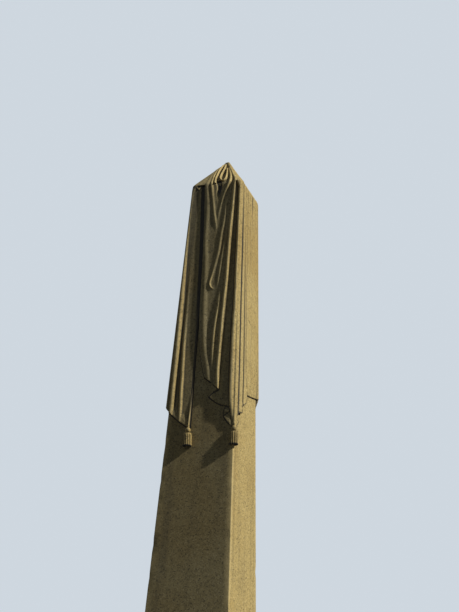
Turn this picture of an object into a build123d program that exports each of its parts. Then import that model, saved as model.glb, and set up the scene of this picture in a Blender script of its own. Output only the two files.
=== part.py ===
from build123d import *

import math
import os

# A draped granite obelisk on a stepped base, as raised over a grave in the later 1800s.
#
# The shaft is one tall tapering stone with a pyramid point. A square pall lies over the point with its
# folds gathered at the peak, and its four corners hang as tassels: one on the front, one on the front
# right arris, and the same again at the back, turned by half a turn. Below the shaft stand its seat, a
# moulded cap, the die, a moulded plinth and two base steps, each bedded on a thin, set back joint.
#
# Millimetres. The origin is the middle of the underside of the bottom step, +Z is up, and the front of
# the monument faces -Y.

# Shaft
SHAFT_FOOT = 840.0
SHAFT_TOP = 500.0
SHAFT_HEIGHT = 5150.0
PYRAMIDION_HEIGHT = 360.0

# Base stones, from the ground up
BOTTOM_STEP_WIDTH = 1860.0
BOTTOM_STEP_HEIGHT = 324.0
UPPER_STEP_WIDTH = 1540.0
UPPER_STEP_HEIGHT = 264.0
PLINTH_WIDTH = 1260.0
PLINTH_HEIGHT = 224.0
DIE_WIDTH = 1010.0
DIE_HEIGHT = 834.0
CAP_WIDTH = 1260.0
CAP_HEIGHT = 236.0
SEAT_WIDTH = 1030.0
SEAT_HEIGHT = 232.0
WASH_RISE = 26.0
LEDGE = 40.0
MARGIN_CHAMFER = 12.0
FILLET_BAND = 22.0
BED_THICKNESS = 6.0
BED_SETBACK = 9.0

# Pall: how far it hangs below the shoulder, and how far its layers stand out from the bare stone
PALL_DROP = 2700.0
OUTER_LAYER = 30.0
SECOND_LAYER = 22.0
INNER_LAYER = 14.0
LOWEST_LAYER = 9.0
ARRIS_COVER = 30.0
ARRIS_ROLL_RADIUS = 26.0
BOLD_FOLD = 18.0
SHORT_FOLD = 13.0
LOW_FOLD = 7.0
SHORT_FOLD_RADIUS = 28.0
NARROW_FOLD_RADIUS = 32.0
FULL_FOLD_RADIUS = 56.0
BROAD_FOLD_RADIUS = 170.0
PEAK_COVER = 43.0
PEAK_HALF_WIDTH = 24.0
PEAK_HEIGHT = 34.0
PEAK_FOLDS = 9
FOLD_FACETS = 14

# Tassels
KNOB_RADIUS = 23.0
NECK_RADIUS = 14.0
COLLAR_RADIUS = 27.0
COLLAR_HEIGHT = 10.0
SKIRT_RADIUS = 37.0
SKIRT_LENGTH = 134.0
STEM_RADIUS = 7.0
STRANDS = 12
STRAND_DEPTH = 0.14
KNOB_TURNS = (1.1, 0.5, 0.0, -0.5, -0.95)
TASSEL_FACE_SETTING = 20.0
TASSEL_ARRIS_SETTING = 10.0

BASE_STONES = (
    BOTTOM_STEP_HEIGHT,
    UPPER_STEP_HEIGHT,
    PLINTH_HEIGHT,
    DIE_HEIGHT,
    CAP_HEIGHT,
    SEAT_HEIGHT,
)
FOOT_Z = sum(BASE_STONES) + BED_THICKNESS * len(BASE_STONES)
SHOULDER_Z = FOOT_Z + SHAFT_HEIGHT
BATTER = (SHAFT_FOOT - SHAFT_TOP) / 2 / SHAFT_HEIGHT
APEX_Z = SHOULDER_Z + PYRAMIDION_HEIGHT
PEAK_FOOT_Z = APEX_Z + PEAK_COVER - PEAK_HEIGHT
MEETING_Z = PEAK_FOOT_Z + PEAK_HEIGHT
REACH = SHAFT_FOOT
BOLD_RISE = OUTER_LAYER + BOLD_FOLD
SHORT_RISE = OUTER_LAYER + SHORT_FOLD

# The pall is drawn on each face in shares. The first number of a point goes across the covered face,
# from -1 at its left arris to 1 at its right one. The second goes down, from 0 at the shoulder to 1
# at the corners of the cloth.
FRONT_HEM_AT_ARRIS = 0.913
SIDE_HEM_AT_ARRIS = 0.822
BEYOND = 1.3
RUN_ON = 0.04

FRONT_CREASE = [(-0.54, 0.0), (-0.38, 0.25), (-0.30, 0.50)]
FREE_EDGE = [(-0.285, 0.62), (-0.255, 0.99)]
TASSEL_TIP = (-0.285, 0.99)
MIDDLE_LEFT_EDGE = [(-0.19, 0.66), (-0.11, 0.74), (-0.03, 0.804)]
MIDDLE_RIGHT_EDGE = [(0.75, 0.0), (0.655, 0.25), (0.585, 0.50), (0.505, 0.75)]
MIDDLE_HEM = [(0.20, 0.822), (0.442, 0.850)]
MIDDLE_TURN = (0.505, 0.860)
UPPER_RETURN_HEM = [(0.336, 0.869)]
UPPER_RETURN_TURN = (0.215, 0.880)
RIGHT_HEM = [(0.22, 0.890), (0.38, 0.901)]
LOWER_RETURN_START = (0.607, 0.914)
LOWER_RETURN_TOP = [(0.804, 0.927)]
RIGHT_TURN = (0.862, 0.940)
LOWER_RETURN_HEM = [(0.728, 0.950)]
LOWER_RETURN_TURN = (0.677, 0.958)
TIP_HEM = [(0.70, 0.964), (0.845, 0.986), (0.93, 1.0)]

SIDE_FIRST_CREASE = [(-0.75, 0.0), (-0.775, 0.25), (-0.80, 0.50), (-0.80, 0.75)]
SIDE_FIRST_TURN = (-0.833, 0.958)
SIDE_TIP_HEM = [(-0.746, 0.973), (-0.93, 1.0)]
SIDE_SECOND_CREASE = [(-0.42, 0.0), (-0.45, 0.25), (-0.44, 0.50), (-0.42, 0.75)]
SIDE_SECOND_TURN = (-0.45, 0.897)
SIDE_NARROW_HEM = [(-0.439, 0.923), (-0.683, 0.933)]
SIDE_THIRD_CREASE = [(-0.22, 0.0), (-0.24, 0.25), (-0.23, 0.50), (-0.22, 0.75)]
SIDE_THIRD_TURN = (-0.214, 0.842)
SIDE_MIDDLE_HEM = [(-0.118, 0.868), (-0.20, 0.881)]
SIDE_WIDE_HEM = [(-0.039, 0.841)]


def along(path, drop):
    """The share across, at this drop, of a path of (share, drop) points joined by straight lines."""
    for (s0, d0), (s1, d1) in zip(path, path[1:]):
        if drop <= d1:
            return s0 + (s1 - s0) * (drop - d0) / (d1 - d0)
    return path[-1][0]


def half_width(z):
    """Half the bare shaft's width at height z."""
    return SHAFT_TOP / 2 + BATTER * (SHOULDER_Z - z)


def height_at(drop):
    return SHOULDER_Z - drop * PALL_DROP


def place(point):
    """A point of the pall's pattern, on the vertical plane through the monument's middle."""
    share, drop = point
    z = height_at(drop)
    return Vector(share * (half_width(z) + ARRIS_COVER), 0, z)


def square(width, z):
    return Plane.XY.offset(z) * Rectangle(width, width)


def make_shaft():
    """The tapering shaft with its pyramid point, one stone."""
    slope = math.degrees(math.atan(BATTER))
    body = extrude(square(SHAFT_FOOT, FOOT_Z), amount=SHAFT_HEIGHT, taper=slope)
    point = loft([square(SHAFT_TOP, SHOULDER_Z), Vertex(0, 0, APEX_Z)], ruled=True)
    return body + point


def square_turning(profile, z):
    """A square stone with the same moulding on its four sides. The profile is the right half of its
    section, drawn with its foot at zero, and is made square by crossing two extrusions of it."""
    outline = make_face(profile + mirror(profile, Plane.YZ))
    reach = 2 * outline.bounding_box().max.X
    one_way = extrude(outline, amount=reach, both=True)
    other_way = Rot(0, 0, 90) * one_way
    return Pos(0, 0, z) * (one_way & other_way)


def make_step(width, height, z):
    """A base step with a sloping wash above a plain vertical face."""
    half = width / 2
    profile = Plane.XZ * Polyline(
        (0, 0),
        (half, 0),
        (half, height - WASH_RISE),
        (half - LEDGE, height),
        (0, height),
    )
    return square_turning(profile, z)


def make_plinth(z):
    """The stone under the die: a plain band, a round member and a hollow cove drawn in to the die."""
    foot = PLINTH_WIDTH / 2
    top = DIE_WIDTH / 2 + LEDGE
    band = PLINTH_HEIGHT * 0.45
    round_foot = (foot - FILLET_BAND, band)
    round_top = (foot - FILLET_BAND, band + PLINTH_HEIGHT * 0.2)
    cove_foot = (top + FILLET_BAND, round_top[1])
    cove_top = (top, PLINTH_HEIGHT)
    profile = Plane.XZ * (
        Polyline((0, 0), (foot, 0), (foot, band), round_foot)
        + ThreePointArc(round_foot, (foot, band + PLINTH_HEIGHT * 0.1), round_top)
        + Line(round_top, cove_foot)
        + RadiusArc(cove_foot, cove_top, PLINTH_HEIGHT * 0.5)
        + Line(cove_top, (0, PLINTH_HEIGHT))
    )
    return square_turning(profile, z)


def make_die(z):
    """The plain square die, with its upright arrises chamfered."""
    die = Pos(0, 0, z) * Box(
        DIE_WIDTH, DIE_WIDTH, DIE_HEIGHT, align=(Align.CENTER, Align.CENTER, Align.MIN)
    )
    return chamfer(die.edges().filter_by(Axis.Z), MARGIN_CHAMFER)


def make_cap(z):
    """The moulded cap: a cove swelling out to a plain fascia, with a sloping wash on top."""
    foot = DIE_WIDTH / 2 + LEDGE / 2
    brow = CAP_WIDTH / 2
    cove_z = CAP_HEIGHT * 0.45
    profile = Plane.XZ * (
        Polyline((0, 0), (foot, 0), (foot, FILLET_BAND))
        + RadiusArc((foot, FILLET_BAND), (brow - FILLET_BAND, cove_z), -(brow - foot))
        + Polyline(
            (brow - FILLET_BAND, cove_z),
            (brow, cove_z),
            (brow, CAP_HEIGHT - 2 * WASH_RISE),
            (SEAT_WIDTH / 2 + FILLET_BAND, CAP_HEIGHT),
            (0, CAP_HEIGHT),
        )
    )
    return square_turning(profile, z)


def make_seat(z):
    """The stone that the shaft stands on, drawn in from its foot by a long reversed curve."""
    foot = SEAT_WIDTH / 2
    top = SHAFT_FOOT / 2 + LEDGE
    band = SEAT_HEIGHT * 0.5
    middle = ((foot + top) / 2, (band + SEAT_HEIGHT) / 2)
    upper = TangentArc((foot, band), middle, tangent=(0, 1))
    profile = Plane.XZ * (
        Polyline((0, 0), (foot, 0), (foot, band))
        + upper
        + TangentArc((top, SEAT_HEIGHT), middle, tangent=(0, -1))
        + Line((top, SEAT_HEIGHT), (0, SEAT_HEIGHT))
    )
    return square_turning(profile, z)


def make_bed(width, z):
    """The joint between two stones, set back from the narrower one's face."""
    side = width - 2 * BED_SETBACK
    return Pos(0, 0, z) * Box(
        side, side, BED_THICKNESS, align=(Align.CENTER, Align.CENTER, Align.MIN)
    )


def make_base():
    """The stones below the shaft and the beds between them, by name."""
    pieces = {}
    levels = []
    z = 0.0
    for height in BASE_STONES:
        levels.append(z)
        z += height + BED_THICKNESS
    bottom, upper, plinth, die, cap, seat = levels
    pieces["bottom_step"] = make_step(BOTTOM_STEP_WIDTH, BOTTOM_STEP_HEIGHT, bottom)
    pieces["upper_step"] = make_step(UPPER_STEP_WIDTH, UPPER_STEP_HEIGHT, upper)
    pieces["moulded_plinth"] = make_plinth(plinth)
    pieces["die"] = make_die(die)
    pieces["die_cap"] = make_cap(cap)
    pieces["shaft_seat"] = make_seat(seat)
    pieces["upper_step_bed"] = make_bed(UPPER_STEP_WIDTH, upper - BED_THICKNESS)
    pieces["plinth_bed"] = make_bed(PLINTH_WIDTH, plinth - BED_THICKNESS)
    pieces["die_bed"] = make_bed(DIE_WIDTH, die - BED_THICKNESS)
    pieces["cap_bed"] = make_bed(DIE_WIDTH, cap - BED_THICKNESS)
    pieces["seat_bed"] = make_bed(SEAT_WIDTH, seat - BED_THICKNESS)
    pieces["shaft_bed"] = make_bed(SHAFT_FOOT, FOOT_Z - BED_THICKNESS)
    return pieces


class Fold:
    """A fold of the pall, as a long round bar let into the stone. Its crest follows a path of
    (share, drop) points, stands out this far, in millimetres, and is rounded to this radius. A fold
    that dies away in the cloth stands out less, or not at all, at its foot."""

    def __init__(self, path, rise, radius, foot_rise=None):
        self.path = path
        self.rise = rise
        self.radius = radius
        self.foot_rise = rise if foot_rise is None else foot_rise

    def rise_at(self, drop):
        start, end = self.path[0][1], self.path[-1][1]
        return self.rise + (self.foot_rise - self.rise) * (drop - start) / (end - start)

    def axis(self, drop):
        """The middle of the cone at this drop, on a line that may run past both ends of the path."""
        (s0, d0), (s1, d1) = next(
            ((start, end) for start, end in zip(self.path, self.path[1:]) if drop <= end[1]),
            self.path[-2:],
        )
        share = s0 + (s1 - s0) * (drop - d0) / (d1 - d0)
        face = half_width(height_at(drop))
        let_in = self.radius - self.rise_at(drop)
        return Vector(share * (face + ARRIS_COVER), let_in - face, height_at(drop))

    def hanging(self):
        """The fold below the shoulder."""
        drops = [drop for _, drop in self.path]
        if self.path[0][1] == 0:
            drops[0] -= RUN_ON
        if self.foot_rise == self.rise:
            drops[-1] += RUN_ON
        lengths = []
        for start, end in zip(drops, drops[1:]):
            lap = RUN_ON / 4 if end < drops[-1] else 0
            lengths.append(bar(self.axis(start), self.axis(end + lap), self.radius))
        return lengths

    def gathered(self):
        """The fold above the shoulder, planed to a point where all the folds meet."""
        ring = Pos(self.axis(0.0)) * RegularPolygon(self.radius, FOLD_FACETS)
        return loft([ring, Vertex(0, 0, MEETING_Z)], ruled=True)


class ArrisRoll(Fold):
    """The rolled fold along the right arris or, with a side of -1, the left one."""

    def __init__(self, side):
        super().__init__([(side, 0.0), (side, 1.0)], ARRIS_COVER, ARRIS_ROLL_RADIUS)
        self.side = side

    def axis(self, drop):
        reach = half_width(height_at(drop)) + ARRIS_COVER - ARRIS_ROLL_RADIUS
        return Vector(self.side * reach, -reach, height_at(drop))


LEFT_ROLL = ArrisRoll(-1)
RIGHT_ROLL = ArrisRoll(1)


def bar(start, end, radius):
    """A round bar from point to point."""
    along_bar = Plane(origin=start, z_dir=end - start)
    align = (Align.CENTER, Align.CENTER, Align.MIN)
    return along_bar * Cylinder(radius, (end - start).length, align=align)


def skin(rise):
    """Everything behind a plane that stands this far out from the front face, from the shoulder down."""
    top = half_width(SHOULDER_Z) + rise
    foot = half_width(height_at(1 + RUN_ON)) + rise
    side = Plane.YZ * Polyline(
        (0, SHOULDER_Z),
        (-top, SHOULDER_Z),
        (-foot, height_at(1 + RUN_ON)),
        (0, height_at(1 + RUN_ON)),
        close=True,
    )
    return extrude(make_face(side), amount=REACH, both=True)


class Layer:
    """A layer of the pall on one face: how far its flat ground stands out, its folds, and its
    outline on the pattern."""

    def __init__(self, rise, folds, outline):
        self.rise = rise
        self.folds = folds
        self.outline = outline

    def solid(self, shaft, wedge):
        """The layer trimmed to its outline and to the mitres at the arrises, and seated on the shaft."""
        cloth = skin(self.rise)
        for fold in self.folds:
            for length in fold.hanging():
                cloth += length
        return (cloth & outline_prism(self.outline) & wedge) - shaft


def face_wedge():
    """The part of space in front of the front face, between the mitres through its two arrises."""
    plan = Polyline((0, 0), (-2 * REACH, -2 * REACH), (2 * REACH, -2 * REACH), close=True)
    return extrude(make_face(plan), amount=APEX_Z + REACH)


def outline_prism(outline):
    """The outline of a layer, cut straight back through the face."""
    corners = [place(point) for point in outline]
    return extrude(make_face(Polyline(*corners, close=True)), amount=2 * REACH, dir=(0, -1, 0))


def front_layers(hem_at_arris):
    """The five layers on the front face, for a hem that meets the left arris at this drop."""
    tip_share, tip_drop = TASSEL_TIP
    hem_middle = ((tip_share - 1) / 2, hem_at_arris + (tip_drop - hem_at_arris) * 0.56)
    left = Layer(
        INNER_LAYER,
        [
            LEFT_ROLL,
            Fold([(-0.95, 0), (-0.81, 1)], OUTER_LAYER + BOLD_FOLD / 2, NARROW_FOLD_RADIUS),
            Fold([(-0.80, 0), (-0.47, 1)], OUTER_LAYER, FULL_FOLD_RADIUS),
            Fold([(-0.64, 0), (-0.33, 1)], SECOND_LAYER, NARROW_FOLD_RADIUS),
        ],
        [
            (-BEYOND, 0.0),
            *FRONT_CREASE,
            *FREE_EDGE,
            TASSEL_TIP,
            hem_middle,
            (-1, hem_at_arris),
            (-BEYOND, hem_at_arris),
        ],
    )
    middle = Layer(
        SECOND_LAYER,
        [
            Fold([(-0.34, 0), (-0.12, 0.5), (0.19, 0.82)], BOLD_RISE, FULL_FOLD_RADIUS),
            Fold([(0.70, 0), (0.42, 0.85)], BOLD_RISE, NARROW_FOLD_RADIUS),
            Fold([(-0.16, 0), (0.07, 0.20)], SHORT_RISE, SHORT_FOLD_RADIUS, LOWEST_LAYER),
            Fold([(0.46, 0), (0.12, 0.17)], SHORT_RISE, SHORT_FOLD_RADIUS, LOWEST_LAYER),
            Fold([(0.686, 0.04), (0.03, 0.43)], SHORT_RISE, SHORT_FOLD_RADIUS, LOWEST_LAYER),
            Fold([(0.65, 0.15), (0.26, 0.46)], SHORT_RISE, SHORT_FOLD_RADIUS, LOWEST_LAYER),
            Fold([(0.568, 0.40), (0.24, 0.76)], SHORT_RISE, SHORT_FOLD_RADIUS, LOWEST_LAYER),
        ],
        [
            *FRONT_CREASE,
            *MIDDLE_LEFT_EDGE,
            *MIDDLE_HEM,
            MIDDLE_TURN,
            *reversed(MIDDLE_RIGHT_EDGE),
        ],
    )
    upper_return = Layer(
        SECOND_LAYER,
        [],
        [MIDDLE_HEM[0], MIDDLE_HEM[1], MIDDLE_TURN, *UPPER_RETURN_HEM, UPPER_RETURN_TURN],
    )
    right = Layer(
        INNER_LAYER,
        [
            Fold([(0.81, 0), (0.52, 1)], SECOND_LAYER, FULL_FOLD_RADIUS),
            Fold([(0.96, 0), (0.86, 1)], OUTER_LAYER + BOLD_FOLD / 2, NARROW_FOLD_RADIUS),
            RIGHT_ROLL,
        ],
        [
            *MIDDLE_RIGHT_EDGE,
            MIDDLE_TURN,
            *UPPER_RETURN_HEM,
            UPPER_RETURN_TURN,
            *RIGHT_HEM,
            LOWER_RETURN_START,
            *LOWER_RETURN_TOP,
            RIGHT_TURN,
            *LOWER_RETURN_HEM,
            LOWER_RETURN_TURN,
            *TIP_HEM,
            (BEYOND, TIP_HEM[-1][1]),
            (BEYOND, 0.0),
        ],
    )
    lower_return = Layer(
        LOWEST_LAYER,
        [],
        [LOWER_RETURN_START, *LOWER_RETURN_TOP, RIGHT_TURN, *LOWER_RETURN_HEM, LOWER_RETURN_TURN],
    )
    return {
        "left_fall": left,
        "middle_fall": middle,
        "upper_return": upper_return,
        "right_fall": right,
        "lower_return": lower_return,
    }


def side_layers(hem_at_arris):
    """The four layers on a side face, drawn as for the front and set on the right face, for a hem
    that meets the far arris at this drop."""
    corner_roll = Layer(
        INNER_LAYER,
        [LEFT_ROLL, Fold([(-0.90, 0), (-0.93, 1)], OUTER_LAYER + LOW_FOLD, NARROW_FOLD_RADIUS)],
        [
            (-BEYOND, 0.0),
            *SIDE_FIRST_CREASE,
            SIDE_FIRST_TURN,
            *SIDE_TIP_HEM,
            (-BEYOND, SIDE_TIP_HEM[-1][1]),
        ],
    )
    narrow = Layer(
        LOWEST_LAYER,
        [Fold([(-0.60, 0), (-0.62, 1)], SECOND_LAYER, FULL_FOLD_RADIUS)],
        [
            *SIDE_FIRST_CREASE,
            SIDE_FIRST_TURN,
            *reversed(SIDE_NARROW_HEM),
            SIDE_SECOND_TURN,
            *reversed(SIDE_SECOND_CREASE),
        ],
    )
    middle = Layer(
        INNER_LAYER,
        [Fold([(-0.32, 0), (-0.33, 1)], OUTER_LAYER, FULL_FOLD_RADIUS)],
        [
            *SIDE_SECOND_CREASE,
            SIDE_SECOND_TURN,
            *reversed(SIDE_MIDDLE_HEM),
            SIDE_THIRD_TURN,
            *reversed(SIDE_THIRD_CREASE),
        ],
    )
    wide = Layer(
        SECOND_LAYER,
        [
            Fold([(0.06, 0), (0.04, 1)], OUTER_LAYER + LOW_FOLD / 2, BROAD_FOLD_RADIUS),
            Fold([(0.64, 0), (0.58, 1)], OUTER_LAYER, BROAD_FOLD_RADIUS),
            RIGHT_ROLL,
        ],
        [
            *SIDE_THIRD_CREASE,
            SIDE_THIRD_TURN,
            *SIDE_WIDE_HEM,
            (1, hem_at_arris),
            (BEYOND, hem_at_arris),
            (BEYOND, 0.0),
        ],
    )
    return {
        "corner_roll": corner_roll,
        "narrow_fall": narrow,
        "middle_fall": middle,
        "wide_fall": wide,
    }


def make_crown(layers, shaft, wedge):
    """The pall over one side of the pyramid: the folds of the layers below, drawn together at the
    peak, over a flat ground."""
    ground = SHAFT_TOP / 2 + INNER_LAYER
    point_z = SHOULDER_Z + PYRAMIDION_HEIGHT * ground / (SHAFT_TOP / 2)
    cloth = loft([square(2 * ground, SHOULDER_Z), Vertex(0, 0, point_z)], ruled=True)
    for layer in layers:
        for fold in layer.folds:
            if fold.path[0][1] == 0:
                cloth += fold.gathered()
    room = Pos(0, 0, SHOULDER_Z) * Box(
        REACH, REACH, PEAK_FOOT_Z - SHOULDER_Z, align=(Align.CENTER, Align.CENTER, Align.MIN)
    )
    return (cloth & room & wedge) - shaft


def star(radius, points, z):
    """A ring of folds or strands at this height, as a star of this many points."""
    corners = []
    for corner in range(2 * points):
        reach = radius * (1 - STRAND_DEPTH * (corner % 2))
        corners.append(Vector(reach, 0, z).rotate(Axis.Z, corner * 180 / points))
    return make_face(Polyline(*corners, close=True))


def make_peak():
    """The gathered point of the cloth, above the four crowns."""
    foot = star(PEAK_HALF_WIDTH, PEAK_FOLDS, PEAK_FOOT_Z)
    return loft([foot, Vertex(0, 0, MEETING_Z)], ruled=True)


def strands(upper, top, lower, foot):
    """A ring of planed strands that spreads or narrows from its upper radius to its lower one."""
    if upper == lower:
        return extrude(star(upper, STRANDS, top), amount=foot - top)
    wide, wide_z, narrow, narrow_z = (upper, top, lower, foot)
    if lower > upper:
        wide, wide_z, narrow, narrow_z = (lower, foot, upper, top)
    point_z = wide_z + (narrow_z - wide_z) * wide / (wide - narrow)
    spire = loft([star(wide, STRANDS, wide_z), Vertex(0, 0, point_z)], ruled=True)
    room = Pos(0, 0, foot) * Box(
        REACH, REACH, top - foot, align=(Align.CENTER, Align.CENTER, Align.MIN)
    )
    return spire & room


def make_tassel():
    """A tassel hanging on the Z axis, with the middle of its knob at the origin: a short cord, a
    knob, a neck, a bound collar and a skirt."""
    neck_z = -KNOB_RADIUS
    collar_z = neck_z - COLLAR_HEIGHT
    foot_z = neck_z - SKIRT_LENGTH
    middle_z = (collar_z + foot_z) / 2
    knob = [(KNOB_RADIUS * math.cos(turn), KNOB_RADIUS * math.sin(turn)) for turn in KNOB_TURNS]
    tassel = strands(STEM_RADIUS, 2 * KNOB_RADIUS, STEM_RADIUS, knob[0][1])
    for upper, lower in zip(knob, knob[1:]):
        tassel += strands(*upper, *lower)
    tassel += strands(NECK_RADIUS, knob[-1][1], NECK_RADIUS, neck_z)
    tassel += strands(NECK_RADIUS, neck_z, COLLAR_RADIUS, collar_z)
    tassel += strands(COLLAR_RADIUS, collar_z, SKIRT_RADIUS * 0.93, middle_z)
    tassel += strands(SKIRT_RADIUS * 0.93, middle_z, SKIRT_RADIUS, foot_z)
    return tassel


def seat_tassel(x, y, hem_z, shaft):
    """A tassel hung below the hem, let into the shaft that it lies on."""
    hung = Pos(x, y, height_at(1.0)) * make_tassel()
    below_hem = Pos(x, y, hem_z) * Box(
        REACH, REACH, REACH, align=(Align.CENTER, Align.CENTER, Align.MAX)
    )
    return (hung & below_hem) - shaft


def make_pall(shaft):
    """Every piece of cloth and every tassel, by name."""
    wedge = face_wedge()
    pieces = {}
    faces = (
        ("front", 0, front_layers(FRONT_HEM_AT_ARRIS), ("left_fall", "middle_fall", "right_fall")),
        ("right", 90, side_layers(SIDE_HEM_AT_ARRIS), None),
        ("back", 180, front_layers(SIDE_HEM_AT_ARRIS), ("left_fall", "middle_fall", "right_fall")),
        ("left", 270, side_layers(FRONT_HEM_AT_ARRIS), None),
    )
    for side, turn, layers, at_shoulder in faces:
        for name, layer in layers.items():
            pieces[f"{side}_{name}"] = Rot(0, 0, turn) * layer.solid(shaft, wedge)
        crown_layers = [layers[name] for name in at_shoulder or layers]
        pieces[f"{side}_crown"] = Rot(0, 0, turn) * make_crown(crown_layers, shaft, wedge)
    pieces["crown_peak"] = make_peak()

    knob_face = half_width(height_at(1.0))
    tip = place(((FREE_EDGE[-1][0] + TASSEL_TIP[0]) / 2, TASSEL_TIP[1]))
    on_face = seat_tassel(tip.X, -(knob_face + TASSEL_FACE_SETTING), tip.Z, shaft)
    corner = knob_face + TASSEL_ARRIS_SETTING
    on_arris = seat_tassel(corner, -corner, height_at(TIP_HEM[-1][1]), shaft)
    pieces["front_tassel"] = on_face
    pieces["front_right_tassel"] = on_arris
    pieces["back_tassel"] = Rot(0, 0, 180) * on_face
    pieces["back_left_tassel"] = Rot(0, 0, 180) * on_arris
    return pieces


def main():
    shaft = make_shaft()
    pieces = make_base()
    pieces["shaft"] = shaft
    pieces.update(make_pall(shaft))
    os.makedirs("parts", exist_ok=True)
    for name, piece in pieces.items():
        piece.label = name
        export_step(piece, f"parts/{name}.step")


main()
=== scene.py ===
"""The finish of a draped granite obelisk: the carved pall with its folds, hems and tassels, the
worn stones of the shaft and base, and the mortar beds between them.

The pall is drawn on a pattern, face by face. A place on it is a share and a drop: the share goes
across the covered face, from -1 at its left arris to 1 at its right one, and the drop goes down,
from 0 at the shoulder to 1 at the corners of the cloth, and below zero over the pyramid. Lengths on
the pattern and the heights of its folds are millimetres, and every mesh is made in metres.
"""

import math

import bmesh
import bpy
import numpy as np
from mathutils import Matrix, Vector, noise


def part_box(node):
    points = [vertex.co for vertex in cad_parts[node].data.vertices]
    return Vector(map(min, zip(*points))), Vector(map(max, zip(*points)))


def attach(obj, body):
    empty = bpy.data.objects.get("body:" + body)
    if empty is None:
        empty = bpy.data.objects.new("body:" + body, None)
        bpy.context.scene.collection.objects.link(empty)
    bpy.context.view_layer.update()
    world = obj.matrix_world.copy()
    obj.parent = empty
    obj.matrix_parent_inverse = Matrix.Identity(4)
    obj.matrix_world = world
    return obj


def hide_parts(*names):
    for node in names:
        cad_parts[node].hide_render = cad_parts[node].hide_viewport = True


MM = 0.001

# The shaft, as the frame holds it
PYRAMID_RISE = 360.0
SHAFT_TOP = 500.0

# The pall: its size, its arrises, how surfaces blend where they meet, and the grid it is cut from
DROP = 2700.0
COVER = 30.0
CROWN_RISE = 390.0
PEAK_HALF_WIDTH = 20.0
SHOULDER_ROUNDING = 8.0
CREASE_ROUNDING = 3.0
ARRIS_BLEND = 24.0
ROLL_FLANK = 58.0
FULLEST_ROLL = 0.45
THINNEST = 1.0
MITRE = 0.995
CELL_ACROSS = 5.0
CELL_DOWN = 8.0
TRIM_MARGIN = 1.5
TRIM_WITHIN = 0.05
MERGE_WITHIN = 0.4

# The rim of a layer: it stands up a little, turns over, and ends in a line scribed on the stone.
# A layer that fades out has no rim there, and goes down to the faded height
HEM_LIFT_WIDTH = 120.0
RIM_RISE = 2.0
RIM_WIDTH = 9.0
RIM_DIP = 0.2
RIM_TURN = 3.0
LEAST_TURN = 0.5
SCRIBED_WIDTH = 9.0
SCRIBED_HEIGHT = 1.0
SCRIBED_SLOPE = 0.6
LET_IN = 3.0
FADED = 2.5
FADING_WIDTH = 30.0

# Dirt with painted shade, and wear. Each height is compared with the mean of those nearby. Dirt and
# painted shade lie below the open height, and most where the cloth is cupped; the cores of grooves,
# the rims of hems and the undersides are painted darker still. A place that stands proud of the
# mean is worn
NEARBY = 16.0
OPEN_HEIGHT = 26.0
HOLLOW_DEPTH = 16.0
CUPPED = 4.0
PROUD = 5.0
LOW_DIRT_AND_SHADE = 0.5
CUP_DIRT_AND_SHADE = 0.8
DIRT_AND_SHADE_CORE = 2.4
TURNED_DIRT_AND_SHADE = 0.9
RIM_DIRT_AND_SHADE = 1.3
DARKEST = 1.5
# Painted shade on the faces turned to the front: it starts where a face turns this far to the
# front, and is full this much further round
FRONT_SHADE_FROM = 0.66
FRONT_SHADE_OVER = 0.26

# The drop of the hem at the front left arris, and at the back right one
FRONT_HEM = 0.913
SIDE_HEM = 0.811

# Lines of the front of the pall on the pattern: its creases, its edges, and the hems that step
# down from the middle fall to the right tassel, with two turned-back layers between them
FRONT_CREASE = [(-0.48, 0.0), (-0.335, 0.25), (-0.27, 0.50)]
FREE_EDGE = [(-0.295, 0.62), (-0.27, 0.99)]
TASSEL_TIP = (-0.30, 0.99)
LEFT_HEM_SAG = 0.56
MIDDLE_LEFT_EDGE = [(-0.20, 0.65), (-0.09, 0.735), (0.045, 0.804)]
MIDDLE_TURN = (0.482, 0.852)
MIDDLE_RIGHT_EDGE = [(0.75, 0.0), (0.655, 0.25), (0.585, 0.50), (0.50, 0.75), MIDDLE_TURN]
MIDDLE_HEM = [(0.26, 0.826), (0.42, 0.845), MIDDLE_TURN]
UPPER_RETURN_TURN = (0.195, 0.877)
UPPER_RETURN_HEM = [MIDDLE_TURN, (0.325, 0.863), UPPER_RETURN_TURN]
RIGHT_TURN = (0.85, 0.933)
LOWER_RETURN_TOP = [(0.69, 0.914), (0.80, 0.922), RIGHT_TURN]
RIGHT_HEM = [UPPER_RETURN_TURN, (0.334, 0.893), (0.54, 0.909), *LOWER_RETURN_TOP]
LOWER_RETURN_TURN = (0.64, 0.953)
LOWER_RETURN_HEM = [RIGHT_TURN, (0.74, 0.943), LOWER_RETURN_TURN]
TIP_HEM = [LOWER_RETURN_TURN, (0.75, 0.974), (0.88, 0.990), (0.93, 1.0), (1.0, 1.0)]

CROWN_TOP = -CROWN_RISE / DROP
CROWN_OUTLINE = [(-1, CROWN_TOP), (1, CROWN_TOP), (1, 0), (-1, 0)]

# Lines of a side of the pall: the creases between its falls, the grooves cut along two of them,
# and its zigzag hem. A groove's points, and a crest's, are share, drop and depth or height
SIDE_FIRST_TURN = (-0.833, 0.958)
SIDE_SECOND_TURN = (-0.45, 0.897)
SIDE_THIRD_TURN = (-0.06, 0.830)
SIDE_FIRST_CREASE = [(-0.75, 0.0), (-0.775, 0.25), (-0.80, 0.50), (-0.80, 0.75)]
SIDE_SECOND_CREASE = [(-0.42, 0.0), (-0.45, 0.25), (-0.44, 0.50), (-0.42, 0.75)]
SIDE_THIRD_CREASE = [(-0.22, 0.0), (-0.24, 0.25), (-0.23, 0.50), (-0.19, 0.74)]
FIRST_GROOVE = [(-0.72, 0.0, 2), (-0.745, 0.25, 6), (-0.765, 0.50, 8), (-0.765, 0.75, 8)]
SECOND_GROOVE = [(-0.38, 0.0, 0.5), (-0.41, 0.25, 1), (-0.39, 0.50, 3), (-0.37, 0.75, 5)]
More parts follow.
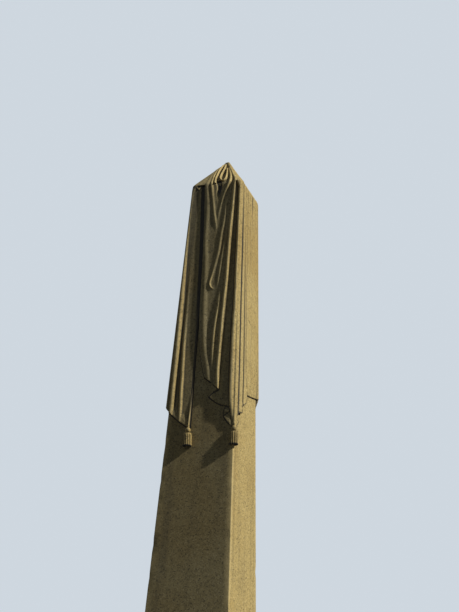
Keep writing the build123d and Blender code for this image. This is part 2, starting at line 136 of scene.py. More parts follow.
SIDE_TIP_HEM = [SIDE_FIRST_TURN, (-0.746, 0.973), (-0.93, 1.0), (-1.0, 1.0)]
SIDE_NARROW_HEM = [SIDE_SECOND_TURN, (-0.439, 0.923), (-0.683, 0.933), SIDE_FIRST_TURN]
SIDE_MIDDLE_HEM = [SIDE_THIRD_TURN, (-0.085, 0.862), (-0.20, 0.881), SIDE_SECOND_TURN]
SIDE_WIDE_HEM = [(0.12, 0.833), SIDE_THIRD_TURN]

# The camera: where the viewer stands, and how the view is turned
VIEW_TURN = 20.783
VIEW_DISTANCE = 10.307
EYE_HEIGHT = 1.62
VIEW_RAISE = 23.143
VIEW_ROLL = 3.054
VIEW_ASIDE = 0.567
LENS = 64.7
SENSOR = 36.0

# The light
KEY_FROM = (0.80, -0.108, 0.58)
KEY_STRENGTH = 3.9
KEY_SOFTNESS = 1.5
BACK_FROM = (-0.38, 0.84, 0.40)
BACK_STRENGTH = 2.1
BACK_SOFTNESS = 20.0
FILL_COLOUR = (0.67, 0.79, 1.0)
FILL_STRENGTH = 0.119
BACKDROP = (0.62, 0.68, 0.74)
FLOOR_SHOWN = (0.60, 0.60, 0.58)
FLOOR_CAST = (0.10, 0.10, 0.10)

# Granite and mortar, as linear colours
FELDSPAR = (0.46, 0.335, 0.118)
QUARTZ = (0.31, 0.228, 0.082)
PALE_GRAIN = (0.63, 0.485, 0.21)
MICA = (0.085, 0.068, 0.034)
# The colour of dirt and of painted shade, also used for rain streaks and stains, and the nearly
# black painted shade, with some dirt, of the deepest hollows, rims and undersides
DIRT_AND_SHADE_TINT = (0.055, 0.048, 0.030)
DIRT_AND_DEEP_SHADE = (0.010, 0.009, 0.007)
# The tint of the painted shade on the faces turned to the front
FRONT_SHADE_TINT = (0.60, 0.66, 0.86)
MORTAR = (0.42, 0.38, 0.30)

# Crystals in a metre of granite, of the two sizes it is made of
CRYSTALS = 210.0
LARGE_CRYSTALS = 84.0


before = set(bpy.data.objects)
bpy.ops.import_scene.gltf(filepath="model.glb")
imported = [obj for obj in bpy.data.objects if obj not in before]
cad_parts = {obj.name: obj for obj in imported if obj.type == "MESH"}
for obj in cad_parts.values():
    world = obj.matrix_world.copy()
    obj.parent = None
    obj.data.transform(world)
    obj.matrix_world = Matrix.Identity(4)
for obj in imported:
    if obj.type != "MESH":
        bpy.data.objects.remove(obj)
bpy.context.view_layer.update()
shaft_low, shaft_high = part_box("shaft")
SHOULDER_Z = shaft_high[2] / MM - PYRAMID_RISE
FOOT_Z = shaft_low[2] / MM
FOOT_HALF = shaft_high[0] / MM
BATTER = (FOOT_HALF - SHAFT_TOP / 2) / (SHOULDER_Z - FOOT_Z)


class Value:
    """A shader socket that arithmetic can be done on."""

    def __init__(self, tree, socket):
        self.tree = tree
        self.socket = socket

    def maths(self, operation, other, swapped=False):
        pair = (other, self) if swapped else (self, other)
        return self.tree.node("ShaderNodeMath", {"operation": operation}, {0: pair[0], 1: pair[1]})

    def __add__(self, other):
        return self.maths("ADD", other)

    __radd__ = __add__

    def __sub__(self, other):
        return self.maths("SUBTRACT", other)

    def __rsub__(self, other):
        return self.maths("SUBTRACT", other, swapped=True)

    def __mul__(self, other):
        return self.maths("MULTIPLY", other)

    __rmul__ = __mul__


class Shader:
    """The node tree of one material or of the world."""

    def __init__(self, owner):
        owner.use_nodes = True
        self.tree = owner.node_tree
        self.tree.nodes.clear()

    def node(self, kind, settings=None, inputs=None, output=0):
        """Adds a node, sets it up and feeds its sockets, and gives one of its outputs."""
        made = self.tree.nodes.new(kind)
        for name, value in (settings or {}).items():
            if name == "stops":
                self.set_stops(made.color_ramp, value)
            else:
                setattr(made, name, value)
        for name, value in (inputs or {}).items():
            self.feed(made.inputs[name], value)
        return Value(self, made.outputs[output]) if made.outputs else None

    def feed(self, socket, value):
        if isinstance(value, Value):
            self.tree.links.new(value.socket, socket)
        elif isinstance(value, tuple) and socket.type == "RGBA":
            socket.default_value = (*value, 1.0)
        else:
            socket.default_value = value

    @staticmethod
    def set_stops(ramp, stops):
        while len(ramp.elements) < len(stops):
            ramp.elements.new(1.0)
        for element, (place, colour) in zip(ramp.elements, stops):
            element.position = place
            element.color = (*colour, 1.0)

    def steps(self, value, low, high):
        """0 below the low value and 1 above the high one, with a smooth rise between."""
        settings = {"interpolation_type": "SMOOTHSTEP"}
        inputs = {"Value": value, "From Min": low, "From Max": high}
        return self.node("ShaderNodeMapRange", settings, inputs)

    def mix(self, factor, first, second, blend="MIX"):
        settings = {"data_type": "RGBA", "blend_type": blend}
        return self.node("ShaderNodeMix", settings, {0: factor, 6: first, 7: second}, output=2)

    def grain(self, where, per_metre, output="Distance"):
        """Crystals of one size: each one's own random value, or the distance from its middle."""
        inputs = {"Vector": where, "Scale": per_metre}
        return self.node("ShaderNodeTexVoronoi", {}, inputs, output=output)

    def clouds(self, where, per_metre, detail=3.0, roughness=0.55):
        inputs = {"Vector": where, "Scale": per_metre, "Detail": detail, "Roughness": roughness}
        return self.node("ShaderNodeTexNoise", {}, inputs)

    def stretched(self, where, scale):
        """The place measured at another scale on each axis, for streaks."""
        return self.node("ShaderNodeVectorMath", {"operation": "MULTIPLY"}, {0: where, 1: scale})

    def red(self, colour):
        return self.node("ShaderNodeSeparateColor", {}, {"Color": colour})

    def marked(self, attribute):
        """A value that the mesh carries at each of its points, and 0 where it carries none."""
        return self.node("ShaderNodeAttribute", {"attribute_name": attribute}, output="Fac")

    def surface(self, colour, rough, shine, height, strength, deep):
        """Makes the material a rough surface, with bumps this deep in metres."""
        bumps = {"Strength": strength, "Distance": deep, "Height": height}
        inputs = {
            "Base Color": colour,
            "Roughness": rough,
            "Normal": self.node("ShaderNodeBump", {}, bumps),
            "Specular IOR Level": shine,
        }
        shader = self.node("ShaderNodeBsdfPrincipled", {}, inputs)
        self.node("ShaderNodeOutputMaterial", {}, {"Surface": shader})

    def seen_directly(self):
        """1 where the camera, or a reflection, sees this surface, and 0 for light it casts."""
        rays = ("Is Camera Ray", "Is Glossy Ray", "Is Transmission Ray")
        camera, glossy, through = [self.node("ShaderNodeLightPath", output=ray) for ray in rays]
        return camera + glossy + through

    def two_looks(self, output, cast, shown):
        """One shader for the light that bounces off, and another where it is seen directly."""
        inputs = {0: self.seen_directly(), 1: cast, 2: shown}
        self.node(output, {}, {"Surface": self.node("ShaderNodeMixShader", {}, inputs)})


def granite(name, darkening):
    """Medium-grained buff granite. Its tint drifts over the stone, rain has streaked it, dirt and
    painted shade lie in hollows and joints, nearly black painted shade in the deepest places, the
    faces turned to the front carry a darker painted shade, and worn arrises are paler."""
    material = bpy.data.materials.new(name)
    s = Shader(material)
    where = s.node("ShaderNodeTexCoord", output="Object")
    hollow = s.marked("hollow")
    worn = s.marked("worn")

    crystal = s.red(s.grain(where, CRYSTALS, output="Color"))
    large_crystal = s.red(s.grain(where, LARGE_CRYSTALS, output="Color"))
    stops = [(0.12, MICA), (0.26, QUARTZ), (0.45, FELDSPAR), (0.74, FELDSPAR), (0.88, PALE_GRAIN)]
    mixture = crystal * 0.50 + large_crystal * 0.50
    colour = s.node("ShaderNodeValToRGB", {"stops": stops}, {"Fac": mixture})
    patch = s.clouds(where, 26.0, detail=2.0)
    colour = s.mix(s.steps(patch, 0.35, 0.70) * 0.30, colour, QUARTZ)
    drift = s.clouds(where, 1.3)
    colour = s.mix(s.steps(drift, 0.38, 0.66) * 0.35, colour, PALE_GRAIN, blend="MULTIPLY")
    streak = s.clouds(s.stretched(where, (9.0, 9.0, 0.55)), 1.0, detail=4.0)
    streaked = s.steps(streak, 0.50, 0.72)
    colour = s.mix(streaked * 0.30, colour, DIRT_AND_SHADE_TINT)
    # The faces turned to the front are tinted darker and bluer: painted shade
    colour = s.mix(s.marked("weathered"), colour, FRONT_SHADE_TINT, blend="MULTIPLY")
    # Dirt and painted shade where the mesh marks hollows, and nearly black painted shade in the
    # deepest of them
    smudge = s.clouds(where, 7.0)
    dirt_and_shade_mask = s.steps(hollow + (smudge - 0.5) * 0.6, 0.25, 1.05)
    colour = s.mix(dirt_and_shade_mask * darkening, colour, DIRT_AND_SHADE_TINT)
    colour = s.mix(s.steps(hollow, 1.0, 1.4) * 0.95, colour, DIRT_AND_DEEP_SHADE)
    colour = s.mix(worn * s.steps(smudge, 0.25, 0.65) * 0.50, colour, PALE_GRAIN)

    pits = s.steps(s.grain(where, CRYSTALS / 2), 0.05, 0.42)
    dressing = s.clouds(where, CRYSTALS, detail=2.0)
    unevenness = s.clouds(where, 14.0)
    height = pits * 0.35 + dressing * 0.55 + unevenness * 1.6
    rough = 0.93 - crystal * 0.16 - worn * 0.06
    s.surface(colour, rough, shine=0.3, height=height, strength=0.55, deep=0.003)
    return material


def mortar(name):
    """Sandy lime mortar, grey where the wet has stained it."""
    material = bpy.data.materials.new(name)
    s = Shader(material)
    where = s.node("ShaderNodeTexCoord", output="Object")
    sand = s.clouds(where, 420.0, detail=2.0)
    stain = s.steps(s.clouds(where, 11.0), 0.40, 0.66)
    colour = s.mix(s.steps(sand, 0.30, 0.70) * 0.40, MORTAR, QUARTZ)
    colour = s.mix(stain * 0.60, colour, DIRT_AND_SHADE_TINT)
    s.surface(colour, 0.96 - sand * 0.1, shine=0.5, height=sand, strength=0.5, deep=0.002)
    return material


def smooth_line(points, per_span=6):
    """A smooth curve through these points, whose columns are all drawn alike."""
    rows = np.array(points, dtype=float)
    if len(rows) < 3:
        steps = np.linspace(0, 1, per_span + 1)[:, None]
        return rows[0] + (rows[-1] - rows[0]) * steps
    slopes = np.empty_like(rows)
    slopes[1:-1] = (rows[2:] - rows[:-2]) / 2
    slopes[0] = rows[1] - rows[0]
    slopes[-1] = rows[-1] - rows[-2]
    steps = np.linspace(0, 1, per_span, endpoint=False)[:, None]
    line = []
    for start, end, leaving, arriving in zip(rows, rows[1:], slopes, slopes[1:]):
        line.append(
            start * (2 * steps**3 - 3 * steps**2 + 1)
            + leaving * (steps**3 - 2 * steps**2 + steps)
            + end * (3 * steps**2 - 2 * steps**3)
            + arriving * (steps**3 - steps**2)
        )
    return np.vstack([*line, rows[-1:]])


def run_on(*lines):
    """One outline of several smooth lines, each of which starts where the last one ends."""
    first, *others = [smooth_line(line) for line in lines]
    return [*first, *(point for line in others for point in line[1:])]


def deepened(points, depth):
    """These places on the pattern as the points of a groove that is equally deep all along."""
    return [(share, drop, depth) for share, drop in points]


def cover_half(drop):
    """Half the covered width at each drop, from the peak down, rounded over the shoulder."""
    fall = SHAFT_TOP / 2 + COVER + BATTER * DROP * drop
    rise = SHAFT_TOP / 2 + COVER
    slope = rise + (rise - PEAK_HALF_WIDTH) * DROP * drop / CROWN_RISE
    return (fall + slope - np.sqrt((fall - slope) ** 2 + SHOULDER_ROUNDING**2)) / 2


def laid_flat(share, drop):
    """Millimetres across from the face's middle, and down the face from the shoulder."""
    slope_length = math.hypot(CROWN_RISE, SHAFT_TOP / 2) / CROWN_RISE
    return share * cover_half(drop), drop * DROP * np.where(drop < 0, slope_length, 1.0)


class Roll:
    """The rolled fold along an arris: its radius, and how far it stands off the two faces."""

    def __init__(self, radius, cover):
        self.radius = radius
        self.cover = cover

    def crest(self, side, flank=ROLL_FLANK):
        return Crest([(side, -0.16, self.cover), (side, 1.0, self.cover)], flank)


PLAIN_ROLL = Roll(26.0, 30.0)
FULL_ROLL = Roll(85.0, 38.0)
FRONT_ROLLS = (PLAIN_ROLL, FULL_ROLL)
SIDE_ROLLS = (FULL_ROLL, PLAIN_ROLL)


def by_side(share, rolls, size):
    return np.where(share < 0, getattr(rolls[0], size), getattr(rolls[1], size))


def stand_out(share, drop, height, rolls):
    """Where a place on the pattern is, this far off the front of the stone: the cloth rolls round
    its two arrises and meets the next face's cloth on the mitre."""
    reach = cover_half(drop)
    cover = by_side(share, rolls, "cover")
    radius = np.minimum(by_side(share, rolls, "radius"), reach * FULLEST_ROLL)
    centre = reach + cover - COVER - radius
    nominal = np.abs(share) * reach
    beyond = np.clip((nominal - centre) / (reach - centre), 0, 1)
    turn = beyond * math.pi / 4
    roll = radius + height - cover
    across = np.where(beyond > 0, centre + roll * np.sin(turn), nominal)
    out = np.where(beyond > 0, centre + roll * np.cos(turn), reach - COVER + height)
    return np.stack([np.sign(share) * across, -out, SHOULDER_Z - drop * DROP], axis=-1)


def behind(share, drop, depth):
    """The back of the cloth, this deep below the face of the stone."""
    reach = cover_half(drop)
    stone = reach - COVER - depth
    across = np.clip(share * reach, -stone, stone)
    return np.stack([across, -stone, SHOULDER_Z - drop * DROP], axis=-1)


def higher(first, second):
    """The higher of two surfaces, with the crease where they meet a little rounded."""
    return (first + second + np.sqrt((first - second) ** 2 + CREASE_ROUNDING**2)) / 2


class Crest:
    """The crest of a fold: (share, drop, height) points, and how far its flanks spread to its left
    and right, looking down along it."""

    def __init__(self, points, left, right=None):
        share, drop, height = smooth_line(points).T
        across, down = laid_flat(share, drop)
        self.line = np.stack([across, down, height], axis=-1)
        self.left = left
        self.right = right or left

    def nearness(self, across, down):
        """How far off the crest each place is, as a part of the flank's width, and the crest's own
        height there."""
        best = np.full(across.shape, np.inf)
        height = np.zeros(across.shape)
        for start, end in zip(self.line, self.line[1:]):
            run = end - start
            length = max(run[0] ** 2 + run[1] ** 2, 1e-6)
            t = ((across - start[0]) * run[0] + (down - start[1]) * run[1]) / length
            t = np.clip(t, 0, 1)
            aside = across - start[0] - t * run[0]
            below = down - start[1] - t * run[1]
            to_left = run[0] * below - run[1] * aside > 0
            gap = np.hypot(aside, below) / np.where(to_left, self.left, self.right)
            nearer = gap < best
            best = np.where(nearer, gap, best)
            height = np.where(nearer, start[2] + t * run[2], height)
        return best, height

    def surface(self, across, down):
        gap, height = self.nearness(across, down)
        return height * np.cos(np.clip(gap, 0, 1) * math.pi / 2)


class Hollow(Crest):
    """A dished place in the ground between the folds, as deep as its points' heights, with this
    much dirt and painted shade in it."""

    def __init__(self, points, left, right=None, dirt_and_shade=0.0):
        super().__init__(points, left, right)
        self.dirt_and_shade = dirt_and_shade
        self.deepest = max(depth for _, _, depth in points)


class Groove(Hollow):
    """A hollow cut into the folds themselves."""


class Layer:
    """One layer of the pall on a face: the rolls at its arrises, the height of its ground, its
    folds, its outline on the pattern, its hems, how thick the cloth is there, how wide a band of
    painted shade and dirt runs along their rim, and the edge where the layer fades out onto the
    stone, if it has one."""

    def __init__(
        self, rolls, ground, folds, outline, hems=(), thick=25.0, dark_rim=0.0, fading=()
    ):
        self.rolls = rolls
        self.fading = Crest([(*point, 0.0) for point in fading], FADING_WIDTH) if fading else None
        self.thick = thick
        self.dark_rim = dark_rim
        self.ground = ground
        self.crests = [fold for fold in folds if not isinstance(fold, Hollow)]
        self.cut = [fold for fold in folds if isinstance(fold, Hollow)]
        self.outline = outline
        self.hems = [Crest([(*point, RIM_RISE) for point in hem], RIM_WIDTH) for hem in hems]

    def relief(self, share, drop):
        """The cloth's height off the stone, its dirt and painted shade where it lies hollow, and
        its wear.
        """
        height = self.height(share, drop)
        aside = NEARBY / cover_half(drop)
        below = NEARBY / DROP
        around = (
            self.height(np.clip(share - aside, -1, 1), drop)
            + self.height(np.clip(share + aside, -1, 1), drop)
            + self.height(share, drop - below)
            + self.height(share, drop + below)
        ) / 4
        # Low and cupped places, the cores of grooves and the rims of hems are marked for dirt and
        # painted shade
        hollow = np.clip((OPEN_HEIGHT - height) / HOLLOW_DEPTH, 0, 1) * LOW_DIRT_AND_SHADE
        hollow = hollow + np.clip((around - height) / CUPPED, 0, 1) * CUP_DIRT_AND_SHADE
        across, down = laid_flat(share, drop)
        for fold in self.cut:
            gap, depth = fold.nearness(across, down)
            groove_dark = fold.dirt_and_shade * np.clip(DIRT_AND_SHADE_CORE - DIRT_AND_SHADE_CORE * gap, 0, 1)
            hollow = hollow + groove_dark * np.clip(depth / fold.deepest, 0, 1)
        for hem in self.hems:
            gap, _ = hem.nearness(across, down)
            hollow = np.where(gap * RIM_WIDTH < self.dark_rim, RIM_DIRT_AND_SHADE, hollow)
        hollow = hollow * self.kept(across, down)
        return height, np.minimum(hollow, DARKEST), np.clip((height - around) / PROUD, 0, 1)

    def kept(self, across, down):
        """0 at the edge where the layer fades out, and 1 away from it."""
        if not self.fading:
            return 1.0
        gap, _ = self.fading.nearness(across, down)
        return np.clip(gap, 0, 1)

    def height(self, share, drop):
        across, down = laid_flat(share, drop)
        ground = self.ground(share, drop) if callable(self.ground) else self.ground
        height = np.zeros(share.shape) + ground
        for fold in self.cut:
            if not isinstance(fold, Groove):
                height = height - fold.surface(across, down)
        height = np.maximum(height, THINNEST)
        for hem in self.hems:
            gap, _ = hem.nearness(across, down)
            lift = np.clip(1 - gap * RIM_WIDTH / HEM_LIFT_WIDTH, 0, 1)
            height = np.maximum(height, self.thick * lift * (2 - lift))
        for fold in self.crests:
            height = higher(height, fold.surface(across, down))
        for fold in self.cut:
            if isinstance(fold, Groove):
                height = np.maximum(height - fold.surface(across, down), THINNEST)
        height = FADED + (height - FADED) * self.kept(across, down)
        for hem in self.hems:
            gap, rise = hem.nearness(across, down)
            height = height + rise * np.sin(np.clip(gap, 0, 1) * math.pi) - rise * (gap < RIM_DIP)
        from_arris = (1 - np.abs(share)) * cover_half(drop)
        blend = np.clip(1 - from_arris / ARRIS_BLEND, 0, 1)
        blend = blend * blend * (3 - 2 * blend)
        return height + (by_side(share, self.rolls, "cover") - height) * blend


def sides_of(outline):
    """The straight sides of a closed outline, each as its start and its end."""
    return zip(outline, np.roll(outline, -1, axis=0))


def inside(points, outline):
    """Which of these points lie inside a closed outline."""
    x, y = points.T
    within = np.zeros(len(points), dtype=bool)
    for (x0, y0), (x1, y1) in sides_of(outline):
        crosses = (y0 > y) != (y1 > y)
        if y0 != y1:
            within ^= crosses & (x < (x1 - x0) * (y - y0) / (y1 - y0) + x0)
    return within


def pattern_grid(outline):
    """The outline cut out of a fine grid laid over the pattern, as a flat mesh in millimetres."""
    low, high = outline.min(axis=0), outline.max(axis=0)
    columns = np.linspace(low[0], high[0], max(2, math.ceil((high[0] - low[0]) / CELL_ACROSS)) + 1)
    rows = np.linspace(low[1], high[1], max(2, math.ceil((high[1] - low[1]) / CELL_DOWN)) + 1)
    across, down = np.meshgrid(columns, rows)
    bm = bmesh.new()
    verts = [bm.verts.new((x, y, 0)) for x, y in zip(across.flat, down.flat)]
    wide = len(columns)
    margin = TRIM_MARGIN * max(columns[1] - columns[0], rows[1] - rows[0])
    faces = []
    for row in range(len(rows) - 1):
        for column in range(wide - 1):
            first = row * wide + column
            corners = (first, first + 1, first + wide + 1, first + wide)
            faces.append(bm.faces.new([verts[corner] for corner in corners]))
    centres = np.array([face.calc_center_median()[:2] for face in faces])
    near = np.zeros(len(faces), dtype=bool)
    for start, end in sides_of(outline):
        run = end - start
        t = np.clip((centres - start) @ run / max(run @ run, 1e-9), 0, 1)
        near |= np.hypot(*(centres - start - t[:, None] * run).T) < margin
    close = {face for face, is_near in zip(faces, near) if is_near}
    for start, end in sides_of(outline):
        trim_along(bm, close, start, end, margin)
    bmesh.ops.remove_doubles(bm, verts=bm.verts, dist=MERGE_WITHIN)
    faces = list(bm.faces)
    kept = inside(np.array([face.calc_center_median()[:2] for face in faces]), outline)
    outside = [face for face, keep in zip(faces, kept) if not keep]
    bmesh.ops.delete(bm, geom=outside, context="FACES")
    return bm


def trim_along(bm, close, start, end, margin):
    """Cuts the faces near one straight length of an outline along it."""
    run = end - start
    if run @ run < 1e-6:
        return
    low = np.minimum(start, end) - margin
    high = np.maximum(start, end) + margin
    group = set()
    for face in close:
        x, y, _ = face.calc_center_median()
        if low[0] < x < high[0] and low[1] < y < high[1]:
            group.add(face)
    geometry = set(group)
    for face in group:
        geometry.update(face.edges)
        geometry.update(face.verts)
    plane = {"plane_co": (*start, 0), "plane_no": (-run[1], run[0], 0)}
    cut = bmesh.ops.bisect_plane(bm, geom=list(geometry), dist=TRIM_WITHIN, **plane)
    close -= group
    close.update(item for item in cut["geom"] if isinstance(item, bmesh.types.BMFace))


def outward(rim):
    """Which way is out of the outline at each vertex of its rim, on the flat pattern."""
    out = {}
    for edge in rim:
        first, second = edge.verts
        run = second.co - first.co
        aside = Vector((run.y, -run.x, 0)).normalized()
        if aside.dot(edge.link_faces[0].calc_center_median() - first.co) > 0:
            aside.negate()
        for vert in edge.verts:
            out[vert] = out.get(vert, Vector()) + aside
    return {vert: aside.normalized() for vert, aside in out.items()}


def rim_rings(layer, share, drop, height, place, out):
    """The rings of points below a rim, and how much dirt and painted shade each ring carries: the
    rim turns over, drops to the stone, and ends in a scribed line let into it, all painted dark. On
    the mitre it goes straight down."""
    at_mitre = np.abs(share) > MITRE
    out = out * np.where(at_mitre, 0, 1)[:, None]
    scribed = (share + out[:, 0] * SCRIBED_WIDTH, drop + out[:, 1] * SCRIBED_WIDTH)
    turned_over = stand_out(share, drop, np.maximum(height - RIM_TURN, LEAST_TURN), layer.rolls)
    turned_over[at_mitre] = place[at_mitre]
    return (
        (turned_over, TURNED_DIRT_AND_SHADE),
        (behind(share, drop, -SCRIBED_HEIGHT), DARKEST),
        (behind(*scribed, -SCRIBED_HEIGHT * SCRIBED_SLOPE), DARKEST),
        (behind(*scribed, LET_IN), DARKEST),
    )


def carve(name, layer, turns):
    """The mesh of one layer on the face that is this many quarter turns from the front."""
    scale = (SHAFT_TOP / 2 + COVER, DROP)
    bm = pattern_grid(np.array(layer.outline) * scale)
    hollow_of = bm.verts.layers.float.new("hollow")
    worn_of = bm.verts.layers.float.new("worn")
    bm.verts.ensure_lookup_table()
    front = list(bm.verts)
    rim = [edge for edge in bm.edges if edge.is_boundary]
    out = outward(rim)
    flat = np.array([(vert.co.x, vert.co.y) for vert in front])
    share, drop = (flat / scale).T
    height, hollow, worn = layer.relief(share, drop)
    places = stand_out(share, drop, height, layer.rolls)

    order = {vert: index for index, vert in enumerate(front)}
    picked = [order[vert] for vert in out]
    at_rim = [values[picked] for values in (share, drop, height, places)]
    aside = np.array([(way.x, way.y) for way in out.values()]) / scale
    rings = rim_rings(layer, *at_rim, aside)
    kept = layer.kept(*laid_flat(*at_rim[:2])) * np.ones(len(out))
    above = {vert: vert for vert in out}
    edges = [tuple(edge.verts) for edge in rim]
    turn = Matrix.Rotation(turns * math.pi / 2, 4, "Z")
    # The rim's wall and scribed line carry dirt and painted shade, less where the layer fades out
    for ring, dirt_and_shade in rings:
        below = {}
        for vert, place, dirt_and_shade_mask in zip(out, ring, kept):
            below[vert] = bm.verts.new(turn @ (Vector(place) * MM))
            below[vert][hollow_of] = dirt_and_shade * dirt_and_shade_mask
        for first, second in edges:
            bm.faces.new((above[first], above[second], below[second], below[first]))
        above = below
    foot = [edge for edge in bm.edges if edge.is_boundary]
    bmesh.ops.edgeloop_fill(bm, edges=foot)
    for vert, place, depth, wear in zip(front, places, hollow, worn):
        vert.co = turn @ (Vector(place) * MM)
        vert[hollow_of] = depth
        vert[worn_of] = wear
    return finish_mesh(f"{name}_carved", skin(bm, name))


def skin(bm, name):
    """A mesh made of what has been built, with its faces turned outwards."""
    bmesh.ops.recalc_face_normals(bm, faces=bm.faces)
    mesh = bpy.data.meshes.new(name)
    bm.to_mesh(mesh)
    bm.free()
    return mesh


def add_attribute(mesh, name, values, domain="POINT"):
    attribute = mesh.attributes.new(name, "FLOAT", domain)
    attribute.data.foreach_set("value", [float(value) for value in values])


def paint_front_shade(mesh):
    """Marks the faces turned to the front, which the material tints darker and bluer as painted
    shade.
    """
    normals = np.empty(len(mesh.polygons) * 3)
    mesh.polygons.foreach_get("normal", normals)
    amount = np.clip((-normals[1::3] - FRONT_SHADE_FROM) / FRONT_SHADE_OVER, 0, 1)
    add_attribute(mesh, "weathered", amount * amount * (3 - 2 * amount), "FACE")


def finish_mesh(name, mesh, crisp=48.0):
    paint_front_shade(mesh)
    mesh.polygons.foreach_set("use_smooth", [True] * len(mesh.polygons))
    mesh.set_sharp_from_angle(angle=math.radians(crisp))
    piece = bpy.data.objects.new(name, mesh)
    bpy.context.scene.collection.objects.link(piece)
    return piece


def place_piece(piece, node, material):
    """Sets a finished piece in the frame in place of the plain one of the same name."""
    piece.data.materials.append(material)
    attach(piece, "root")
    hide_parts(node)


def front_left_fall(hem_at_arris):
    tip_share, tip_drop = TASSEL_TIP
    sag = hem_at_arris + (tip_drop - hem_at_arris) * LEFT_HEM_SAG
    hem = [(-1, hem_at_arris), ((tip_share - 1) / 2, sag), TASSEL_TIP]
    right_edge = smooth_line([*FRONT_CREASE, *FREE_EDGE])
    folds = [
        PLAIN_ROLL.crest(-1),
        Crest([
            (-0.985, -0.02, 28), (-0.98, 0.107, 30), (-0.955, 0.26, 34), (-0.90, 0.49, 40),
            (-0.865, 0.65, 42), (-0.83, 0.95, 41),
        ], 38.0),
        Crest([
            (-0.73, 0.25, 12), (-0.72, 0.37, 14), (-0.69, 0.534, 18), (-0.67, 0.65, 25),
            (-0.628, 0.77, 30), (-0.595, 0.86, 32), (-0.555, 0.97, 31),
        ], 28.0),
        Crest([
            (-0.30, 0.86, 12), (-0.296, 0.91, 20), (-0.288, 0.95, 29), (-0.285, 0.99, 33),
        ], 14.0),
        # Hollows painted darker as shade: along the crease and the free edge, under the crown's
        # edge, and beside the arris near the top
        Hollow([
            (-0.55, -0.01, 11), (-0.40, 0.25, 10), (-0.32, 0.50, 6), (-0.30, 0.66, 1),
        ], 32.0, dirt_and_shade=1.6),
        Hollow([
            (-0.34, 0.25, 2), (-0.28, 0.50, 2), (-0.295, 0.62, 2), (-0.27, 0.97, 1),
        ], 14.0, dirt_and_shade=1.6),
        Hollow([(-0.93, 0.006, 5), (-0.40, 0.006, 5)], 24.0, dirt_and_shade=1.3),
        Hollow([(-0.86, -0.01, 2), (-0.86, 0.22, 1.6), (-0.84, 0.45, 0.3)], 62.0, dirt_and_shade=0.7),
        Crest([(-0.80, 0.006, 27), (-0.72, 0.017, 29), (-0.67, 0.006, 22)], 12.0),
    ]
    outline = [(-1, 0), *right_edge, *smooth_line(hem)[::-1]]
    return Layer(FRONT_ROLLS, left_ground, folds, outline, [hem])


def left_ground(share, drop):
    """The ground of the left fall, which is fuller up beside the arris."""
    beside_arris = np.interp(share, [-1, -0.55], [1, 0])
    return 12 + 15 * beside_arris * np.interp(drop, [0.15, 0.45], [1, 0])


# The deep eye at the shoulder, where the gathered folds part, painted nearly black as shade, and
# the crisp hook in which the longest of the short folds ends
EYE = Groove([
    (0.04, -0.012, 26), (0.12, 0.018, 26), (0.11, 0.042, 11), (0.12, 0.07, 3),
], 30.0, dirt_and_shade=1.9)
HOOKED_END = Crest([
    (0.10, 0.385, 32), (0.04, 0.415, 37), (0.012, 0.432, 39), (0.05, 0.447, 38), (0.12, 0.456, 31),
], 15.0)


def front_middle_folds():
    """The folds of the front's middle fall, which run up into the crown."""
    return [
        Crest([
            (-0.83, -0.105, 35), (-0.56, -0.05, 36), (-0.42, -0.005, 38), (-0.30, 0.116, 33),
            (-0.27, 0.25, 32), (-0.20, 0.334, 32), (-0.14, 0.50, 34), (-0.10, 0.58, 35),
            (-0.05, 0.66, 35), (0.02, 0.72, 34), (0.125, 0.78, 33), (0.19, 0.83, 31),
        ], 40.0, 70.0),
        Crest([
            (-0.71, -0.11, 37), (-0.42, -0.055, 40), (-0.23, -0.005, 42), (-0.12, 0.068, 35),
            (-0.04, 0.12, 34), (0.03, 0.165, 34), (0.07, 0.19, 30), (0.09, 0.222, 22),
        ], 26.0, 34.0),
        Crest([
            (0.59, -0.10, 38), (0.61, -0.053, 42), (0.53, -0.01, 43), (0.44, 0.02, 43),
            (0.33, 0.049, 34), (0.23, 0.09, 32), (0.15, 0.136, 30), (0.12, 0.175, 22),
        ], 26.0, 30.0),
        Crest([
            (0.52, 0.04, 24), (0.42, 0.085, 32), (0.366, 0.17, 34), (0.289, 0.233, 35),
            (0.24, 0.297, 35), (0.16, 0.346, 34), (0.06, 0.40, 32), (0.02, 0.43, 30),
            (0.05, 0.448, 28), (0.16, 0.455, 22),
        ], 32.0, 38.0),
        Crest([
            (0.52, 0.18, 24), (0.468, 0.236, 31), (0.40, 0.29, 33), (0.344, 0.349, 33),
            (0.28, 0.42, 31), (0.25, 0.46, 24),
        ], 28.0, 34.0),
        Crest([
            (0.38, 0.44, 25), (0.355, 0.48, 34), (0.33, 0.53, 38), (0.27, 0.60, 40),
            (0.245, 0.65, 40), (0.245, 0.72, 38), (0.25, 0.79, 28),
        ], 30.0, 32.0),
        Crest([
            (0.78, -0.106, 40), (0.80, -0.058, 44), (0.79, -0.019, 46), (0.73, 0.007, 47),
            (0.70, 0.06, 48), (0.655, 0.13, 42), (0.605, 0.216, 41), (0.564, 0.385, 41),
            (0.533, 0.467, 42), (0.485, 0.587, 43), (0.45, 0.70, 43), (0.434, 0.78, 43),
            (0.455, 0.86, 39),
        ], 36.0, 28.0),
    ]


def front_middle_fall():
    left_edge = smooth_line([*FRONT_CREASE, *MIDDLE_LEFT_EDGE])
    hem = [MIDDLE_LEFT_EDGE[-1], *MIDDLE_HEM]
    right_edge = smooth_line(MIDDLE_RIGHT_EDGE)
    outline = [*left_edge, *smooth_line(hem)[1:], *right_edge[::-1][1:]]
    return Layer(FRONT_ROLLS, 25.0, [*front_middle_folds(), HOOKED_END, EYE], outline, [hem])


